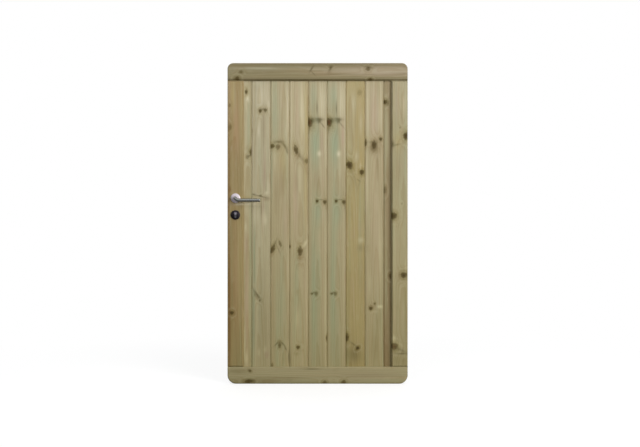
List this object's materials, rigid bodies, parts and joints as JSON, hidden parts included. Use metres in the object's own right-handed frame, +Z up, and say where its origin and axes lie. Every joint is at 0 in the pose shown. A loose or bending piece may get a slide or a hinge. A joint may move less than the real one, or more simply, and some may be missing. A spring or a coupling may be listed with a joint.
{
  "type": "entrance gate: framed garden gate leaf with lever handles",
  "caption": "Timber garden gate leaf: tongue-and-groove boards in a rounded frame, with lever handles, a mortice lock and a profile cylinder.",
  "frame": {"origin": "on the flat hinge edge of the leaf, at mid-thickness, at the height of the lower hinge (0.25 m above the leaf's foot)", "axes": "+X from the lock edge towards the hinge edge, +Y towards the back of the gate, +Z up"},
  "size_m": [1, 0.149, 1.78],
  "materials": {
    "frame_timber": "planed, pressure treated",
    "board_timber": "planed, pressure treated",
    "satin_stainless": "satin",
    "dark_metal": "satin black",
    "nickel": "satin nickel",
    "zinc_plate": "zinc plated"
  },
  "bodies": {
    "leaf": {"top_rail": "frame_timber", "bottom_rail": "frame_timber", "lock_stile": "frame_timber", "hinge_stile": "frame_timber", "board_1": "board_timber", "board_2": "board_timber", "board_3": "board_timber", "board_4": "board_timber", "board_5": "board_timber", "board_6": "board_timber", "board_7": "board_timber", "board_8": "board_timber", "board_9": "board_timber", "lock_case": "zinc_plate", "lock_faceplate": "satin_stainless", "latch_bolt": "nickel", "dead_bolt": "nickel", "front_lever_rose": "satin_stainless", "back_lever_rose": "satin_stainless", "front_cylinder_rose": "dark_metal", "back_cylinder_rose": "dark_metal", "lock_cylinder": "nickel", "front_plug": "nickel", "back_plug": "nickel"},
    "handle": {"front_lever": "satin_stainless", "back_lever": "satin_stainless", "spindle": "zinc_plate", "lock_follower": "zinc_plate"}
  },
  "joints": [
    {"name": "lever_turn", "type": "hinge", "parent": "leaf", "child": "handle", "pos_m": [-0.955, 0, 0.78], "axis": [0, 1, 0], "range_deg": [0, 45], "stiffness_Nm_per_rad": 1.8, "springref_deg": -34.38}
  ]
}
